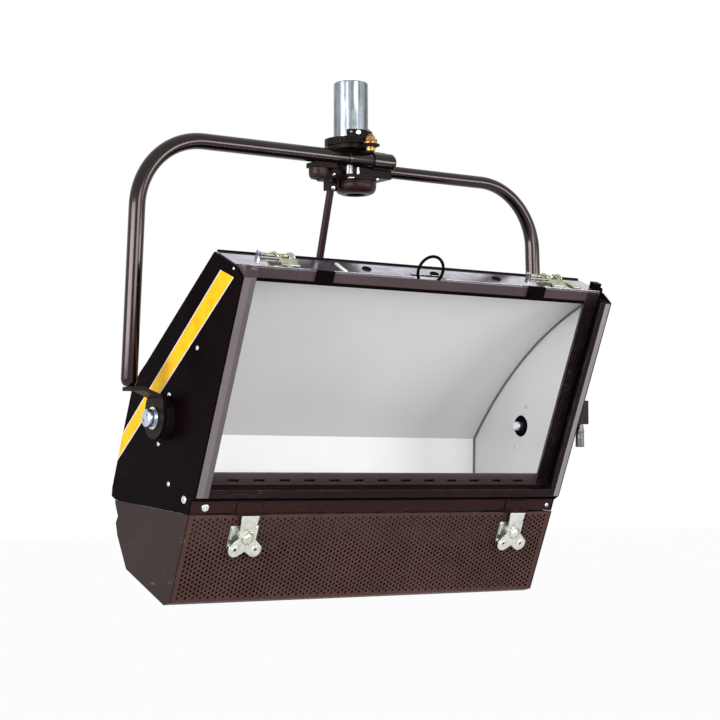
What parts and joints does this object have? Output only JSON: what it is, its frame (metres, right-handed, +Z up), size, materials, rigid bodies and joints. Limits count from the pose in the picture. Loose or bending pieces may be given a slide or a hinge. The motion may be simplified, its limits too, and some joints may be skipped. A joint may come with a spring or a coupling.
{
  "type": "soft light",
  "caption": "Hanging soft light: a wide white reflector head with a perforated lamp door, tilting in a bent-tube yoke under a pan spigot.",
  "frame": {"origin": "the middle of the spigot's flat top face, where the light hangs", "axes": "+Z up along the spigot, -Y towards the light's front, +X along the head to the viewer's right"},
  "size_m": [0.658, 0.3319, 0.6618],
  "materials": {
    "black_paint": "semi-gloss black paint",
    "brown_paint": "dark warm paint, perforated where it covers the lamps",
    "grey_paint": "dark paint, lit grey on the edges",
    "white_enamel": "matt white enamel",
    "zinc": "zinc plated",
    "steel": "bright steel",
    "brass": "turned brass",
    "rubber": "black friction lining and gland",
    "glass": "clear quartz",
    "ceramic": "off-white ceramic"
  },
  "bodies": {
    "mount": {"spigot": "steel", "pan_wheel": "black_paint", "collar_screw": "steel"},
    "yoke": {"saddle": "black_paint", "clamp_stud": "steel", "index_plunger": "brass", "yoke_tube_left": "black_paint", "yoke_tube_right": "black_paint", "ear_left": "black_paint", "ear_right": "black_paint", "washer_left": "steel", "washer_right": "steel", "pivot_bolt_left": "zinc", "pivot_bolt_right": "zinc"},
    "pan_cup_body": {"pan_cup": "brown_paint"},
    "tilt_cup_body": {"tilt_cup": "brown_paint"},
    "rod_tube_body": {"tilt_tube": "black_paint"},
    "rod_screw_body": {"tilt_screw": "steel"},
    "head": {"end_plate_left": "black_paint", "end_plate_right": "black_paint", "friction_disc_left": "rubber", "friction_disc_right": "rubber", "channel_left": "grey_paint", "channel_right": "grey_paint", "liner_left": "white_enamel", "liner_right": "white_enamel", "top_panel": "grey_paint", "back_panel": "black_paint", "bottom_rail": "brown_paint", "bottom_channel": "black_paint", "reflector": "white_enamel", "lamp_trough": "white_enamel", "lamp_left": "glass", "lamp_right": "glass", "lamp_holder_left": "ceramic", "lamp_holder_middle": "ceramic", "lamp_holder_right": "ceramic", "tilt_lug": "black_paint", "keeper_left": "brown_paint", "keeper_right": "brown_paint", "corner_block_left": "black_paint", "corner_catch_right": "black_paint", "cable_gland": "rubber", "side_catch_bracket": "black_paint"},
    "side_plunger_body": {"side_plunger": "steel"},
    "door": {"lamp_door": "brown_paint", "door_end_left": "brown_paint", "door_end_right": "brown_paint", "latch_base_left": "zinc", "latch_base_right": "zinc"},
    "wing_left": {"latch_wing_left": "zinc"},
    "wing_right": {"latch_wing_right": "zinc"},
    "tab_left": {"latch_tab_left": "zinc"},
    "tab_right": {"latch_tab_right": "zinc"},
    "frame": {"colour_frame": "grey_paint"},
    "ring": {"pull_ring": "black_paint"},
    "clip_left": {"top_clip_left": "zinc"},
    "clip_right": {"top_clip_right": "zinc"}
  },
  "joints": [
    {"name": "pan", "type": "hinge", "parent": "mount", "child": "yoke", "pos_m": [0, 0, -0.086], "axis": [0, 0, 1], "range_deg": [-175, 175]},
    {"name": "head_tilt", "type": "hinge", "parent": "yoke", "child": "head", "pos_m": [0, -0.012, -0.44], "axis": [1, 0, 0], "range_deg": [-24, 20]},
    {"name": "pan_drive", "type": "hinge", "parent": "yoke", "child": "pan_cup_body", "pos_m": [0.0075, 0, -0.138], "axis": [0, 0, 1], "continuous": true},
    {"name": "tilt_drive", "type": "hinge", "parent": "yoke", "child": "tilt_cup_body", "pos_m": [-0.055, -0.008, -0.124], "axis": [0, 0, 1], "continuous": true},
    {"name": "rod_swing", "type": "hinge", "parent": "yoke", "child": "rod_tube_body", "pos_m": [-0.0305, 0, -0.137], "axis": [1, 0, 0], "range_deg": [-2.7, 3.2]},
    {"name": "rod_travel", "type": "slide", "parent": "rod_tube_body", "child": "rod_screw_body", "axis": [0, 0.2812, -0.9596], "range_m": [-0.0358, 0.043]},
    {"name": "lamp_door_hinge", "type": "hinge", "parent": "head", "child": "door", "pos_m": [0, 0.12416, -0.53809], "axis": [1, 0, 0], "range_deg": [0, 95]},
    {"name": "latch_turn_left", "type": "hinge", "parent": "door", "child": "wing_left", "pos_m": [-0.194, 0.03105, -0.53948], "axis": [0, -0.9178, -0.3971], "range_deg": [0, 180]},
    {"name": "latch_draw_left", "type": "slide", "parent": "door", "child": "tab_left", "axis": [0, -0.3971, 0.9178], "range_m": [0, 0.0051]},
    {"name": "latch_turn_right", "type": "hinge", "parent": "door", "child": "wing_right", "pos_m": [0.212, 0.03105, -0.53948], "axis": [0, -0.9178, -0.3971], "range_deg": [0, 180]},
    {"name": "latch_draw_right", "type": "slide", "parent": "door", "child": "tab_right", "axis": [0, -0.3971, 0.9178], "range_m": [0, 0.0051]},
    {"name": "frame_lift", "type": "slide", "parent": "head", "child": "frame", "axis": [0, -0.3971, 0.9178], "range_m": [0, 0.24]},
    {"name": "ring_swing", "type": "hinge", "parent": "frame", "child": "ring", "pos_m": [0, -0.16619, -0.27758], "axis": [1, 0, 0], "range_deg": [-35, 0]},
    {"name": "clip_swing_left", "type": "hinge", "parent": "head", "child": "clip_left", "pos_m": [-0.202, -0.13931, -0.25156], "axis": [1, 0, 0], "range_deg": [-100, 0]},
    {"name": "clip_swing_right", "type": "hinge", "parent": "head", "child": "clip_right", "pos_m": [0.202, -0.13931, -0.25156], "axis": [1, 0, 0], "range_deg": [-100, 0]},
    {"name": "plunger_pull", "type": "slide", "parent": "head", "child": "side_plunger_body", "axis": [0, 0, -1], "range_m": [0, 0.01], "stiffness_N_per_m": 300, "springref_m": -0.006}
  ],
  "couplings": [
    {"joint": "pan_drive", "follows": "pan", "ratio": 12},
    {"joint": "tilt_drive", "follows": "head_tilt", "ratio": 20},
    {"joint": "rod_swing", "follows": "head_tilt", "ratio": -0.129},
    {"joint": "rod_travel", "follows": "head_tilt", "m_per_rad": -0.1017},
    {"joint": "latch_draw_left", "follows": "latch_turn_left", "m_per_rad": 0.0015915},
    {"joint": "latch_draw_right", "follows": "latch_turn_right", "m_per_rad": 0.0015915}
  ]
}
